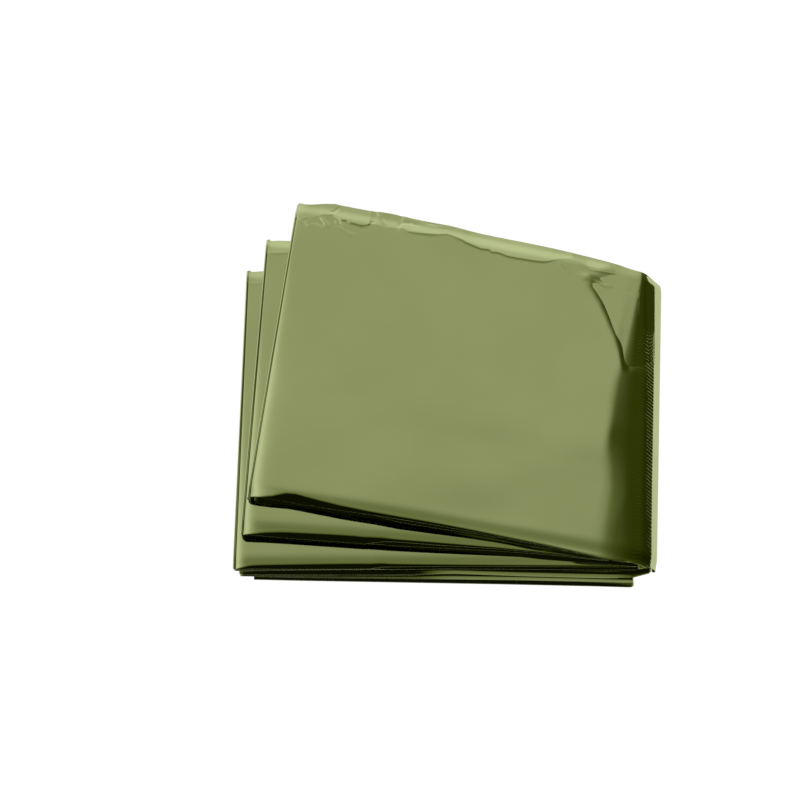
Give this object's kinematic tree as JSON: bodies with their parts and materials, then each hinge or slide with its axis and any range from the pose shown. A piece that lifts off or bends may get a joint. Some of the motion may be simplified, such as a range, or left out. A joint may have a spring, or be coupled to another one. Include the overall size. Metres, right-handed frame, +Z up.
{
  "type": "emergency foil blanket, folded",
  "caption": "Olive metallised film blanket folded flat to a packet, with fanned leaves on the left and a rounded spine on the right.",
  "frame": {"origin": "centre of the folded packet's outline, on the surface that it lies on", "axes": "+Z up from the surface; +X from the fanned leaves on the left to the rounded spine on the right; +Y from the near edges to the far edges"},
  "size_m": [0.2826, 0.2708, 0.0304],
  "materials": {
    "film": "gloss"
  },
  "bodies": {
    "root": {"foil_blanket": "film"}
  },
  "joints": []
}
